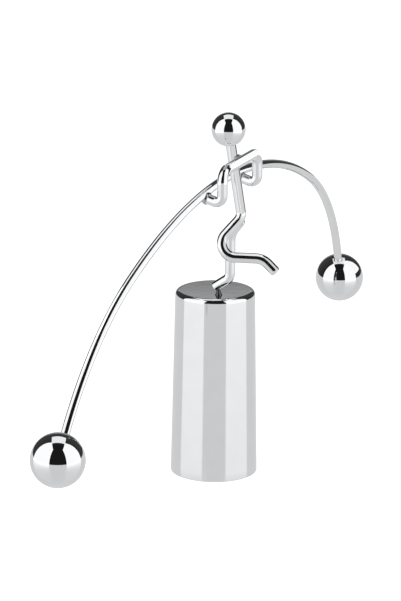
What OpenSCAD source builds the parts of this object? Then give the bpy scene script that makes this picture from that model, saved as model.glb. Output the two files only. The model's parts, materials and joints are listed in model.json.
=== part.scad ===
// Counterweight balancing toy: a bent-wire walking figure stands on one toe on a pointed
// pin and holds an arched beam with a ball at each end. The balls hang below the toe, so
// the figure balances and can rock, nod and turn on the pin.
// Millimetres. The origin is the centre of the base's underside, +Z is up, +Y is the way
// the figure walks and +X is to its right, along the beam.

/* [Base] */
// Diameter of the base shell at its top, before the rim is rounded
base_top_d = 31; // [28:0.5:40]
// Diameter of the base shell at its lower edge
base_bottom_d = 33.8; // [31:0.2:44]
// Height of the base's top above the table
base_h = 73.4; // [50:0.2:110]
// Radius of the rounded top rim
rim_r = 1.8; // [1.4:0.1:3]
// Wall thickness of the base shell
shell_t = 1.2; // [0.8:0.1:1.4]
// Thickness of the pad under the base
pad_t = 1.6; // [1:0.1:3]
// How far the pad stands out below the shell
pad_stand = 0.4; // [0.2:0.1:0.8]
// Gap between the weight or the pad and the shell's wall
slug_gap = 0.2; // [0.1:0.05:0.5]

/* [Pivot] */
// Pivot point to the right of the base's axis
pivot_x = -6.8; // [-9:0.1:9]
// Pivot point ahead of the base's axis
pivot_y = -4.3; // [-7:0.1:7]
// Height of the pivot point above the base's top
pivot_h = 2; // [1.6:0.1:4]
// Diameter of the pin's cone where it stands on the base
pin_foot_d = 2.8; // [2.2:0.1:3.6]
// Diameter of the pin's shank
pin_shank_d = 1.6; // [1:0.1:2]
// Length of the pin's shank below the base's top
pin_shank_l = 9; // [5:0.5:20]
// Diameter of the ball point in the end of the pin
point_d = 1; // [0.7:0.05:1.2]
// Running gap round the pin's shank and behind the ball point
pin_gap = 0.05; // [0.03:0.01:0.1]
// Half angle of the conical socket under the toe
socket_angle = 55; // [48:1:60]
// Running gap between the ball point and the socket
socket_gap = 0.08; // [0.05:0.01:0.15]

/* [Figure] */
// Diameter of the wire that the figure is bent from
wire_d = 4; // [3:0.1:4.4]
// Gap between two wires that are brazed together
braze_gap = 0.2; // [0.1:0.05:0.3]
// Height of the toe's centreline above the pivot point
toe_lift = 2.2; // [1.9:0.05:2.6]
// How far the toe reaches ahead of the pivot point
toe_reach = 1.7; // [1.4:0.1:3]
// Slope of the toe below level
toe_angle = 35; // [25:1:40]
// How far the standing shin stands behind the pivot point
shin_back = 4.7; // [4:0.1:6]
// Height of the standing knee above the pivot point
knee_h = 22.8; // [19:0.2:26]
// How far the hip lies behind the pivot point
hip_back = 11; // [9:0.1:13]
// Height of the hip above the pivot point
hip_h = 31.2; // [29:0.2:36]
// How far short of the hip the standing thigh ends
hip_lap = 2.4; // [2:0.1:2.6]
// How far the raised leg swings out to the left of the way the figure walks
raised_turn = 20; // [10:1:25]
// How far the raised leg's plane leans outwards at its lower end
raised_splay = 15.4; // [8:0.1:20]
// How far ahead of the hip the raised knee's corner lies
raised_knee_ahead = 13.5; // [11:0.1:16]
// How far the raised knee's corner lies below the hip, down the leg's plane
raised_knee_drop = 15.3; // [13:0.1:18]
// Length of the raised shin from the knee's corner to the ankle's corner
raised_shin_l = 22; // [20:0.1:28]
// Fall of the raised shin towards the ankle
raised_shin_angle = 1.4; // [0:0.1:8]
// Length of the raised foot
raised_foot_l = 7.4; // [6:0.1:10]
// Fall of the raised foot towards the toe
raised_foot_angle = 45; // [30:1:60]
// Length of the trunk from the hip to the head's centre
trunk_l = 34; // [31:0.2:42]
// Forward lean of the trunk
trunk_lean = 9.8; // [4:0.2:14]
// Diameter of the head
head_d = 13; // [10:0.2:16]
// Depth of the neck's seat in the head
neck_seat = 5; // [3:0.2:6]

/* [Arms] */
// Distance along the trunk from the hip to the shoulder bar
shoulder_up = 21.8; // [20:0.2:24]
// Half the distance between the two upper arms
arm_half = 17.1; // [14:0.1:22]
// How far the middle of the shoulder bar lies to the left of the trunk
arm_shift = 3.2; // [0:0.1:5]
// Tilt of the shoulder bar, lower on the left
arm_tilt = 0.8; // [0:0.1:3]
// Length of the upper arm from the shoulder bar to the elbow's corner
upper_arm_l = 12.7; // [11:0.1:15]
// Rise of the forearms above level
forearm_rise = 16; // [8:1:20]

/* [Beam] */
// Diameter of the beam's rod
beam_d = 3.4; // [2.4:0.1:4]
// Radius of the beam's middle arc
beam_mid_r = 202; // [180:1:260]
// Half the angle of the beam's middle arc
beam_mid_angle = 25.8; // [20:0.1:30]
// Radius of the beam's end arcs
beam_end_r = 98; // [80:1:110]
// Slope at which the beam's ends run down into the balls
beam_end_angle = 63.7; // [55:0.1:70]
// Straight length from the end arc to the ball's centre
beam_tail = 11.3; // [11:0.1:20]
// Forward lean of the hanging beam, from the top down
beam_lean = 5.9; // [3:0.1:9]
// Beam's middle to the right of the pivot point
beam_x = 1.42; // [-3:0.01:5]
// Beam's top ahead of the pivot point
beam_y = -3.99; // [-4.6:0.01:-3]
// Height of the beam's top above the pivot point
beam_h = 45.4; // [44.6:0.1:47]
// Diameter of the balls
ball_d = 20; // [16:0.5:21]
// How far the beam's ends reach past the balls' centres
ball_seat = 2; // [0:0.1:5]
// Gap round the rod or the neck in its drilled seat
seat_gap = 0.05; // [0.02:0.01:0.1]

/* [Hidden] */
$fn = 96;
eps = 0.01;
// Where a straight and a bend join, one is thinner by the step and reaches in by the lap
joint_step = 0.02;
joint_lap = 0.05;

// The pivot point, which the whole figure turns about
pivot = [pivot_x, pivot_y, base_h + pivot_h];

// Bend radii of the wire's centreline
ankle_r = 4;
knee_r = 8;
hip_r = 4;
raised_knee_r = 5.3;
raised_ankle_r = 7;
shoulder_r = 4.5;
elbow_r = 2.6;

// The figure's points, from the pivot point: the standing leg lies in the pivot's own
// plane, and the trunk stands beside it on the left
trunk_x = -(wire_d + braze_gap);
toe_end = [0, toe_reach, toe_lift - toe_reach * tan(toe_angle)];
ankle = [0, -shin_back, toe_lift + shin_back * tan(toe_angle)];
knee = [0, -shin_back, knee_h];
hip = [0, -hip_back, hip_h];
thigh_end = hip + hip_lap * unit(knee - hip);

trunk_dir = [0, sin(trunk_lean), cos(trunk_lean)];
trunk_back = [0, -cos(trunk_lean), sin(trunk_lean)];
trunk_hip = hip + [trunk_x, 0, 0];
head_at = trunk_hip + trunk_l * trunk_dir;
neck_end = head_at - (head_d / 2 - neck_seat) * trunk_dir;

// The raised leg lies in a plane through the hip that is turned and leans outwards
raised_dir = [-sin(raised_turn), cos(raised_turn), 0];
raised_out = [-cos(raised_turn), -sin(raised_turn), 0];
raised_down = sin(raised_splay) * raised_out - [0, 0, cos(raised_splay)];
function trailing(fall) = sin(fall) * raised_down - cos(fall) * raised_dir;
raised_knee = trunk_hip + raised_knee_ahead * raised_dir + raised_knee_drop * raised_down;
raised_ankle = raised_knee + raised_shin_l * trailing(raised_shin_angle);
raised_toe = raised_ankle + raised_foot_l * trailing(raised_foot_angle);

// The arms, from the pivot point: the shoulder bar crosses behind the trunk
shoulder_seat = trunk_hip + shoulder_up * trunk_dir;
shoulder_mid = shoulder_seat + (wire_d + braze_gap) * trunk_back;
bar_dir = [cos(arm_tilt), 0, sin(arm_tilt)];
elbow_drop = upper_arm_l * [sin(arm_tilt), 0, -cos(arm_tilt)];
forearm_dir = [0, cos(forearm_rise), sin(forearm_rise)];
forearm_l = (beam_y - shoulder_mid.y) / cos(forearm_rise);
function shoulder_at(side) = shoulder_mid + (side * arm_half - arm_shift) * bar_dir;

// The beam in its own plane: x along the span, y up from the top of the arch
end_arc_at = [0, -beam_mid_r] + (beam_mid_r - beam_end_r) * [sin(beam_mid_angle), cos(beam_mid_angle)];
tail_at = end_arc_at + beam_end_r * [sin(beam_end_angle), cos(beam_end_angle)];
tail_dir = [cos(beam_end_angle), -sin(beam_end_angle)];
ball_at = tail_at + beam_tail * tail_dir;
beam_top = [beam_x, beam_y, beam_h];

// Where each hand meets the beam, from the pivot point
function hand_at(side) = shoulder_at(side) + elbow_drop + forearm_l * forearm_dir;

// The base's wall: its slope and its radius at a height
wall_slope = atan((base_bottom_d - base_top_d) / 2 / base_h);
function wall_r(z) = base_bottom_d / 2 - z * tan(wall_slope);

// The pin's cone touches the ball point along this circle
pin_angle = acos(point_d / 2 / norm([pin_foot_d / 2, pivot_h])) - atan2(pivot_h, pin_foot_d / 2);
pin_neck_r = point_d / 2 * cos(pin_angle);
pin_neck_z = point_d / 2 * sin(pin_angle);

function unit(v) = v / norm(v);
// A unit vector square to v
function square_to(v) = unit(abs(v.x) < 0.9 * norm(v) ? cross(v, [1, 0, 0]) : cross(v, [0, 1, 0]));
// The turn between the directions a and b, and how far from the corner its bend starts
function turn(a, b) = acos(a * b);
function bend_start(a, b, r) = r * tan(turn(a, b) / 2);

// Puts a child's x, y and z axes along three unit vectors, with its origin at o
module placed(x, y, z, o)
    multmatrix([
        [x.x, y.x, z.x, o.x],
        [x.y, y.y, z.y, o.y],
        [x.z, y.z, z.z, o.z],
        [0, 0, 0, 1],
    ])
        children();

// A straight round rod from one point to another
module rod(from, to, d) {
    z = unit(to - from);
    x = square_to(z);
    placed(x, cross(z, x), z, from) cylinder(d = d, h = norm(to - from));
}

// A round bend of radius r at a corner, between the directions a and b
module bend(corner, a, b, r, d) {
    x = -unit(b - (a * b) * a);
    start = corner - bend_start(a, b, r) * a;
    placed(x, a, cross(x, a), start - r * x)
        rotate_extrude(angle = turn(a, b)) translate([r, 0]) circle(d = d);
}

// A round wire through points, bent at each inner point with the radius of that corner.
// The straights are a hair thinner than the bends and reach a hair into them.
module wire(points, radii, d) {
    last = len(points) - 1;
    dirs = [for (i = [0 : last - 1]) unit(points[i + 1] - points[i])];
    cut = [
        0,
        for (i = [1 : last - 1]) bend_start(dirs[i - 1], dirs[i], radii[i - 1]),
        0,
    ];
    for (i = [0 : last - 1])
        rod(
            points[i] + max(cut[i] - joint_lap, 0) * dirs[i],
            points[i + 1] - max(cut[i + 1] - joint_lap, 0) * dirs[i],
            d - joint_step
        );
    for (i = [1 : last - 1])
        bend(points[i], dirs[i - 1], dirs[i], radii[i - 1], d);
}

// Least radius of the rim on the shell's inner side
least_rim_r = 0.2;

// Half of the base's outer section, drawn in by a wall thickness
module base_section(inset) {
    top = base_h - inset;
    r = max(rim_r - inset, least_rim_r);
    arc_x = wall_r(top - r) - (inset + r) / cos(wall_slope);
    side = [arc_x, top - r] + r * [cos(wall_slope), sin(wall_slope)];
    polygon([
        [0, pad_stand],
        [wall_r(pad_stand) - inset / cos(wall_slope), pad_stand],
        side,
        [arc_x, top - r],
        [arc_x, top],
        [0, top],
    ]);
    intersection() {
        translate([arc_x, top - r]) circle(r = r);
        translate([arc_x, top - r]) square(2 * r);
    }
}

// Everything inside the shell keeps this far from its outer face
inner = shell_t + slug_gap;

// The drilled hole for the pin, which runs out through the base's top
module pin_hole()
    translate([pivot_x, pivot_y, base_h - pin_shank_l - pin_gap])
        cylinder(d = pin_shank_d + 2 * pin_gap, h = pin_shank_l + pivot_h);

module base_shell()
    color("gainsboro")
        difference() {
            rotate_extrude() base_section(0);
            rotate_extrude() base_section(shell_t);
            translate([0, 0, pad_stand - eps])
                cylinder(r = wall_r(pad_stand) - shell_t / cos(wall_slope), h = 2 * eps);
            pin_hole();
        }

module base_weight()
    color("dimgray")
        difference() {
            translate([0, 0, pad_t])
                cylinder(
                    r1 = wall_r(pad_t) - inner / cos(wall_slope),
                    r2 = wall_r(base_h - shell_t) - (inner + rim_r) / cos(wall_slope),
                    h = base_h - shell_t - pad_t
                );
            pin_hole();
        }

module base_pad()
    color("black")
        cylinder(r = wall_r(pad_t) - inner / cos(wall_slope), h = pad_t);

module pivot_pin()
    color("silver")
        translate(pivot)
            difference() {
                union() {
                    translate([0, 0, -pivot_h])
                        cylinder(d1 = pin_foot_d, r2 = pin_neck_r, h = pivot_h + pin_neck_z);
                    translate([0, 0, -pivot_h - pin_shank_l])
                        cylinder(d = pin_shank_d, h = pin_shank_l);
                }
                sphere(d = point_d + 2 * pin_gap);
            }

module pivot_point()
    color("silver")
        translate(pivot) sphere(d = point_d);

// The conical socket that rests on the ball point
module toe_socket() {
    top = (point_d / 2 + socket_gap) / sin(socket_angle);
    depth = top + pivot_h;
    translate([0, 0, top - depth])
        cylinder(r1 = depth * tan(socket_angle), r2 = 0, h = depth);
}

module standing_leg_shape()
    wire([toe_end, ankle, knee, thigh_end], [ankle_r, knee_r], wire_d);

module trunk_shape()
    wire(
        [neck_end, trunk_hip, raised_knee, raised_ankle, raised_toe],
        [hip_r, raised_knee_r, raised_ankle_r],
        wire_d
    );

module arm_shape() {
    corners = [for (side = [-1, 1]) shoulder_at(side)];
    wire(
        [hand_at(-1), corners[0] + elbow_drop, corners[0], corners[1], corners[1] + elbow_drop, hand_at(1)],
        [elbow_r, shoulder_r, shoulder_r, elbow_r],
        wire_d
    );
}

// Puts a child that is drawn in the beam's plane at its place
module in_beam_plane()
    translate(beam_top) rotate([90 + beam_lean, 0, 0]) children();

module beam_shape(d) {
    lap_angle = asin(joint_lap / beam_end_r);
    in_beam_plane() {
        translate([0, -beam_mid_r, 0])
            rotate([0, 0, 90 - beam_mid_angle])
                rotate_extrude(angle = 2 * beam_mid_angle) translate([beam_mid_r, 0]) circle(d = d);
        for (side = [0, 1])
            mirror([side, 0, 0]) {
                translate(end_arc_at)
                    rotate([0, 0, 90 - beam_end_angle - lap_angle])
                        rotate_extrude(angle = beam_end_angle - beam_mid_angle + 2 * lap_angle)
                            translate([beam_end_r, 0])
                                circle(d = d - joint_step);
                rod([each tail_at, 0], [each (ball_at + ball_seat * tail_dir), 0], d);
            }
    }
}

// A ball on the beam's end, drilled for the rod: side 0 is on the right, 1 on the left
module beam_ball(side)
    translate(pivot)
        in_beam_plane()
            mirror([side, 0, 0])
                difference() {
                    translate(ball_at) sphere(d = ball_d);
                    rod(
                        [each (ball_at - ball_d * tail_dir), 0],
                        [each (ball_at + ball_seat * tail_dir), 0],
                        beam_d + 2 * seat_gap
                    );
                }

module trunk_wire()
    color("silver") translate(pivot) trunk_shape();

module standing_leg()
    color("silver")
        translate(pivot)
            difference() {
                standing_leg_shape();
                toe_socket();
            }

module arm_wire()
    color("silver")
        translate(pivot)
            difference() {
                arm_shape();
                beam_shape(beam_d);
            }

module head_ball()
    color("silver")
        translate(pivot)
            difference() {
                translate(head_at) sphere(d = head_d);
                rod(trunk_hip, neck_end, wire_d + 2 * seat_gap);
            }

module beam()
    color("silver") translate(pivot) beam_shape(beam_d);

module left_ball() color("silver") beam_ball(1);
module right_ball() color("silver") beam_ball(0);

// The hip's run of braze: how far it lies inside the wires' outline, its length, and how
// far down the thighs it starts
hip_bead_in = 0.2;
hip_bead_l = 2.2;
hip_bead_at = 2.4;
// How far the shoulder's bead and the hands' collars stand out from the wire
shoulder_bead_out = 0.3;
hand_bead_out = 0.5;
hand_bead_l = 1.8;

// A run of braze between the two thighs, hollowed by the wires that it wets
module hip_braze() {
    start = (hip + trunk_hip) / 2 + hip_bead_at * unit(knee - hip);
    color("darkgray")
        translate(pivot)
            difference() {
                rod(start, start + hip_bead_l * unit(knee - hip), wire_d - 2 * hip_bead_in);
                rod(hip, knee, wire_d);
                rod(trunk_hip, raised_knee, wire_d);
            }
}

// A bead of braze where the shoulder bar crosses the trunk
module shoulder_braze()
    color("darkgray")
        translate(pivot)
            difference() {
                translate((shoulder_seat + shoulder_mid) / 2) sphere(d = wire_d + 2 * shoulder_bead_out);
                trunk_shape();
                arm_shape();
            }

// The stretch of the beam that lies beside a place along its span, drawn straight and a hair
// thicker, since its middle arc is nearly straight over a hand's width
module beam_beside(x) {
    a = asin((x - beam_x) / beam_mid_r);
    along = [cos(a), -sin(a), 0];
    at = beam_mid_r * [sin(a), cos(a) - 1, 0];
    in_beam_plane() rod(at - wire_d * along, at + wire_d * along, beam_d + 2 * joint_step);
}

// A collar of braze round the forearm's end, where it meets the beam
module hand_braze(side) {
    end = hand_at(side);
    inner_end = end - braze_gap * forearm_dir;
    color("darkgray")
        translate(pivot)
            difference() {
                rod(inner_end - hand_bead_l * forearm_dir, inner_end, wire_d + 2 * hand_bead_out);
                rod(end - 2 * hand_bead_l * forearm_dir, end, wire_d - joint_step);
                beam_beside(end.x);
            }
}

module left_hand_braze() hand_braze(-1);
module right_hand_braze() hand_braze(1);

base_shell();
base_weight();
base_pad();
pivot_pin();
pivot_point();
trunk_wire();
standing_leg();
arm_wire();
head_ball();
beam();
left_ball();
right_ball();
hip_braze();
shoulder_braze();
left_hand_braze();
right_hand_braze();
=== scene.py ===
# %% [markdown]
# # A balancing toy in chromed wire
# The toy is a walking figure bent from wire. It stands with one toe on a pin and holds an arched rod with a
# ball at each end. The balls hang below the toe, so the figure balances. Its whole look is bright chrome, and
# chrome has no colour of its own: it shows the room around it. This lesson makes smooth surfaces that mirror
# well, and then builds the room that they mirror.

# %% Load the frame
import json
import bpy
import numpy as np
from mathutils import Matrix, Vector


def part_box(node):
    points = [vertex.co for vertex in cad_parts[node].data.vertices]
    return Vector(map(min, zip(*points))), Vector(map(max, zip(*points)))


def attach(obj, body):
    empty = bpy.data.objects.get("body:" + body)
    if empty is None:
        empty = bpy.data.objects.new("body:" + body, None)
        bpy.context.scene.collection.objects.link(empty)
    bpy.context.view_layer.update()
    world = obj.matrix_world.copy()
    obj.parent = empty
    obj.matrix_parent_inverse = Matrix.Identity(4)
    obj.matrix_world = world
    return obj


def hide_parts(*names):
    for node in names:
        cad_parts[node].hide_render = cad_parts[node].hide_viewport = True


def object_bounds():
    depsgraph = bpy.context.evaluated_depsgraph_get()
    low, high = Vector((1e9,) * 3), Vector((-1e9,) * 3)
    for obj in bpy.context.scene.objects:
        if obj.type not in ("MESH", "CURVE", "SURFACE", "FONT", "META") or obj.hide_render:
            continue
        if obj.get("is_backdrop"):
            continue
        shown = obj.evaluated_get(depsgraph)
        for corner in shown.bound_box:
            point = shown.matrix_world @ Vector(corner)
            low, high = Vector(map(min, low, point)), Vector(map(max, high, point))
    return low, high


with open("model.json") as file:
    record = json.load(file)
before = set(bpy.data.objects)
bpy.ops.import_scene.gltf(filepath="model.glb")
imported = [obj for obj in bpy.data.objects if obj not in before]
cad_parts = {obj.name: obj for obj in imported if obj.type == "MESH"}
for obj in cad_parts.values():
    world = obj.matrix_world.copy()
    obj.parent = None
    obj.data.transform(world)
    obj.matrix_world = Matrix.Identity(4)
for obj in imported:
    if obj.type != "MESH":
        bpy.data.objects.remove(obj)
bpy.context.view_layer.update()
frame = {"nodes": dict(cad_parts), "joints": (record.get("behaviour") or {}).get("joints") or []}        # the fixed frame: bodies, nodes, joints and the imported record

MM = 0.001
pivot = np.array(frame["joints"][0]["pos_m"]) / MM
print("nodes:", len(frame["nodes"]), "pivot in mm:", pivot.round(2))

# %% [markdown]
# ## One skin for every piece
# A mirror shows every facet. The flat triangles of a CAD file could be smoothed by a modifier, but a grid
# that follows the surface mirrors better. So each piece below works out rows of points, each row a closed
# ring, and one function joins the rows with quads and shades them smooth. The two end rows are closed by a
# fan to a tip, or are joined to each other where the surface runs back into itself like a tube with a thick
# wall.

# %% The skin of a grid
SHARP_ANGLE = np.radians(40)


def skin(name, rows, tips=None):
    """A closed mesh from rows of rings, an array of shape (rows, sides, 3) in mm. Between row i and the next,
    side j makes the quad (i, j), (i, j + 1), (i + 1, j + 1), (i + 1, j). With two tips the end rows get fans,
    without them the last row is joined to the first. The signed volume, a sixth of the sum of
    a . (b x c) over the triangles, says which way the faces point, and they are turned if it is negative."""
    count, sides = rows.shape[:2]
    index = np.arange(count * sides).reshape(count, sides)
    if tips is None:
        index = np.vstack([index, index[:1]])
    here = index[:-1]
    there = index[1:]
    quads = np.stack([here, np.roll(here, -1, 1), np.roll(there, -1, 1), there], -1).reshape(-1, 4)
    fans = np.empty((0, 3), int)
    points = rows.reshape(-1, 3)
    if tips is not None:
        first, last = len(points), len(points) + 1
        points = np.vstack([points, tips])
        top, end = index[0], index[-1]
        fans = np.vstack([
            np.stack([np.full(sides, first), np.roll(top, -1), top], -1),
            np.stack([np.full(sides, last), end, np.roll(end, -1)], -1),
        ])
    triangles = np.vstack([quads[:, [0, 1, 2]], quads[:, [0, 2, 3]], fans])
    a, b, c = (points[triangles[:, k]] for k in range(3))
    volume = np.einsum("ij,ij->", a, np.cross(b, c)) / 6
    if volume < 0:
        quads = quads[:, ::-1]
        fans = fans[:, ::-1]
    mesh = bpy.data.meshes.new(name)
    mesh.from_pydata((points * MM).tolist(), [], quads.tolist() + fans.tolist())
    mesh.polygons.foreach_set("use_smooth", np.ones(len(mesh.polygons), bool))
    mesh.set_sharp_from_angle(angle=SHARP_ANGLE)
    piece = bpy.data.objects.new(name, mesh)
    bpy.context.scene.collection.objects.link(piece)
    print(f"{name}: {len(mesh.polygons)} faces, {abs(volume):.1f} mm3")
    return piece


def fit(piece, node, body, material):
    """Puts a piece in a CAD node's place: it gets the finish given, rides on the body's empty, and the node
    is hidden.
    """
    piece.data.materials.append(material)
    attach(piece, body)
    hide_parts(node)


def unit(v):
    """v at length 1, along the last axis."""
    return v / np.linalg.norm(v, axis=-1, keepdims=True)


# %% [markdown]
# ## Colours and nodes
# Colours are written as the hex values a painter would pick from a screen, and the renderer works with linear
# light, so one function turns one into the other. A second small function adds a shader node, sets it up and
# links it, so that a material reads as a short list of nodes.

# %% Colour and node helpers
MIX_A, MIX_B, MIX_OUT = 6, 7, 2        # where a Mix node keeps its two colours and the mixed one


def linear(hex_colour):
    """sRGB hex to linear RGBA: c / 12.92 up to 0.04045, and ((c + 0.055) / 1.055) to the power 2.4 above."""
    c = np.array([int(hex_colour[i:i + 2], 16) for i in (1, 3, 5)]) / 255
    return (*np.where(c <= 0.04045, c / 12.92, ((c + 0.055) / 1.055) ** 2.4), 1.0)


def add(tree, kind, inputs, **settings):
    """Adds a node of a kind. Each input gets a value, or a link where it is given another node's socket."""
    made = tree.nodes.new(kind)
    for key, value in settings.items():
        setattr(made, key, value)
    for key, value in inputs.items():
        if isinstance(value, bpy.types.NodeSocket):
            tree.links.new(value, made.inputs[key])
        else:
            made.inputs[key].default_value = value
    return made


def new_material(name):
    """A material with an empty node tree, and that tree."""
    material = bpy.data.materials.new(name)
    material.use_nodes = True
    material.node_tree.nodes.clear()
    return material, material.node_tree


# %% [markdown]
# ## Bright chrome
# The shell, the wires, the rod and the balls are steel, polished and plated with bright nickel and chrome.
# That gives an almost clean mirror, a little bluish and darker than silver. A shader with no pattern could
# do it, but a real mirror is never so even. Handling leaves faint smudges a few millimetres wide, which dull
# it a little, and polishing leaves a very slight waviness. Both come from noise, and a roughness near zero
# does the rest.

# %% Chrome plate
SMUDGE_MM = 7.0
SMUDGE_SEEN = (0.35, 0.75)
WAVE_MM, WAVE_DEEP_MM = 3.0, 0.2
CHROME_ROUGH = (0.015, 0.05)


def chrome_plate():
    """Bright plated chrome: metallic 1, a pale grey, a low roughness that rises in smudges, faint waves."""
    material, tree = new_material("bright_chrome_plate")
    place = add(tree, "ShaderNodeTexCoord", {}).outputs["Object"]
    smudge = add(tree, "ShaderNodeTexNoise", {"Vector": place, "Scale": 1 / (SMUDGE_MM * MM), "Detail": 4.0})
    rough = add(tree, "ShaderNodeMapRange", {
        "Value": smudge.outputs["Fac"], "From Min": SMUDGE_SEEN[0], "From Max": SMUDGE_SEEN[1],
        "To Min": CHROME_ROUGH[0], "To Max": CHROME_ROUGH[1]})
    tone = add(tree, "ShaderNodeMix", {
        "Factor": smudge.outputs["Fac"], MIX_A: linear("#EBECED"), MIX_B: linear("#E3E4E6"),
    }, data_type="RGBA")
    wave = add(tree, "ShaderNodeTexNoise", {"Vector": place, "Scale": 1 / (WAVE_MM * MM), "Detail": 1.0})
    bump = add(tree, "ShaderNodeBump", {
        "Height": wave.outputs["Fac"], "Strength": 0.02, "Distance": WAVE_DEEP_MM * MM})
    shader = add(tree, "ShaderNodeBsdfPrincipled", {
        "Base Color": tone.outputs[MIX_OUT], "Metallic": 1.0, "Roughness": rough.outputs["Result"],
        "Normal": bump.outputs["Normal"]})
    add(tree, "ShaderNodeOutputMaterial", {"Surface": shader.outputs["BSDF"]})
    return material


chrome = chrome_plate()
print("made", chrome.name)

# %% [markdown]
# ## Plated braze
# Where two wires meet, a run of braze holds them. It was plated with the rest, but nobody polished it. It
# could take the chrome as it is, but then it would look like a drop of glass. So it is chrome with a lumpy,
# pitted skin that breaks the reflections into dark and light flecks. The bumps make part of the flecks, and
# the colour paints the rest: it is pale on the lumps and dark grey in the pits, and that dark is painted
# shade.

# %% Braze
LUMP_MM, LUMP_DEEP_MM = 0.9, 0.6
BRAZE_ROUGH = (0.05, 0.2)


def plated_braze_with_pit_shade():
    """Unpolished plated braze: the same metal, rougher, with millimetre lumps and painted shade in the pits.
    """
    material, tree = new_material("plated_braze_with_pit_shade")
    place = add(tree, "ShaderNodeTexCoord", {}).outputs["Object"]
    lumps = add(tree, "ShaderNodeTexNoise", {"Vector": place, "Scale": 1 / (LUMP_MM * MM), "Detail": 3.0})
    # The tone follows the lumps' height: pale grey on top, dark grey in the pits, and that dark is painted
    # shade.
    tone = add(tree, "ShaderNodeMix", {
        "Factor": lumps.outputs["Fac"], MIX_A: linear("#7C7D7F"), MIX_B: linear("#D2D3D5"),
    }, data_type="RGBA")
    rough = add(tree, "ShaderNodeMapRange", {
        "Value": lumps.outputs["Fac"], "To Min": BRAZE_ROUGH[0], "To Max": BRAZE_ROUGH[1]})
    bump = add(tree, "ShaderNodeBump", {
        "Height": lumps.outputs["Fac"], "Strength": 0.5, "Distance": LUMP_DEEP_MM * MM})
    shader = add(tree, "ShaderNodeBsdfPrincipled", {
        "Base Color": tone.outputs[MIX_OUT], "Metallic": 1.0, "Roughness": rough.outputs["Result"],
        "Normal": bump.outputs["Normal"]})
    add(tree, "ShaderNodeOutputMaterial", {"Surface": shader.outputs["BSDF"]})
    return material


braze = plated_braze_with_pit_shade()
print("made", braze.name)

# %% [markdown]
# ## Turned steel, cast iron and the pad
# The pin and its ball point are bare turned steel, hardened so that they don't wear, which darkens them,
# with fine rings left by the tool. The rings could be cut into the mesh, but they are finer than its grid,
# so a wave texture raises them. The weight in the base is a plain grey casting, and under it is a black pad
# of pressed felt. Both are matt and grainy, so one function makes them, each with its own grain and tones.

# %% Turned steel
RING_MM, RING_DEEP_MM = 0.12, 0.05
STEEL_ROUGH = (0.12, 0.24)
WAVE_TURN = 20        # a wave texture turns its place by this many radians for each unit of scale


def turned_steel():
    """Bare steel from a lathe: rings along its height, drawn about twice as coarse as they are, to show. One
    ring is a full turn of the wave, so the scale is 2 pi / (wave turn * ring)."""
    material, tree = new_material("turned_steel")
    place = add(tree, "ShaderNodeTexCoord", {}).outputs["Object"]
    rings = add(tree, "ShaderNodeTexWave", {
        "Vector": place, "Scale": 2 * np.pi / (WAVE_TURN * RING_MM * MM), "Distortion": 0.4,
    }, bands_direction="Z")
    rough = add(tree, "ShaderNodeMapRange", {
        "Value": rings.outputs["Fac"], "To Min": STEEL_ROUGH[0], "To Max": STEEL_ROUGH[1]})
    tone = add(tree, "ShaderNodeMix", {
        "Factor": rings.outputs["Fac"], MIX_A: linear("#4E4F51"), MIX_B: linear("#6C6D6F"),
    }, data_type="RGBA")
    bump = add(tree, "ShaderNodeBump", {
        "Height": rings.outputs["Fac"], "Strength": 0.2, "Distance": RING_DEEP_MM * MM})
    shader = add(tree, "ShaderNodeBsdfPrincipled", {
        "Base Color": tone.outputs[MIX_OUT], "Metallic": 1.0, "Roughness": rough.outputs["Result"],
        "Normal": bump.outputs["Normal"]})
    add(tree, "ShaderNodeOutputMaterial", {"Surface": shader.outputs["BSDF"]})
    return material


steel = turned_steel()
print("made", steel.name)

# %% Cast iron and felt
GRAIN_MM, GRAIN_DEEP_MM = 0.8, 0.1
FIBRE_MM, FIBRE_DEEP_MM = 0.25, 0.15


def rough_stuff(name, dark, light, grain_mm, deep_mm, roughness, metallic):
    """A matt, grainy material: noise of one grain size mixes two tones and raises the surface."""
    material, tree = new_material(name)
    place = add(tree, "ShaderNodeTexCoord", {}).outputs["Object"]
    grain = add(tree, "ShaderNodeTexNoise", {"Vector": place, "Scale": 1 / (grain_mm * MM), "Detail": 5.0})
    tone = add(tree, "ShaderNodeMix", {
        "Factor": grain.outputs["Fac"], MIX_A: linear(dark), MIX_B: linear(light)}, data_type="RGBA")
    bump = add(tree, "ShaderNodeBump", {"Height": grain.outputs["Fac"], "Distance": deep_mm * MM})
    shader = add(tree, "ShaderNodeBsdfPrincipled", {
        "Base Color": tone.outputs[MIX_OUT], "Metallic": metallic, "Roughness": roughness,
        "Normal": bump.outputs["Normal"]})
    add(tree, "ShaderNodeOutputMaterial", {"Surface": shader.outputs["BSDF"]})
    return material


cast_iron = rough_stuff("sand_cast_iron", "#4A4A4B", "#6B6B6C", GRAIN_MM, GRAIN_DEEP_MM, 0.6, 0.8)
felt = rough_stuff("pressed_felt", "#161616", "#2E2E2E", FIBRE_MM, FIBRE_DEEP_MM, 0.95, 0.0)
print("made", cast_iron.name, "and", felt.name)

# %% [markdown]
# ## Turned pieces
# The base shell, the pin and the balls are bodies of revolution: a half outline carried round an axis. A
# Screw modifier could turn them too, but as arrays the rings can also slide to a hole that is off the axis. A
# ring of the grid is the outline's point (radius, height) turned through all angles, on two directions square
# to the axis.

# %% Rings round an axis
ORIGIN = np.zeros(3)
UPRIGHT = np.array([0, 0, 1.0])
OFF_AXIS = np.array([0.3, 0.5, 0.81])        # nothing is turned about this direction


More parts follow.
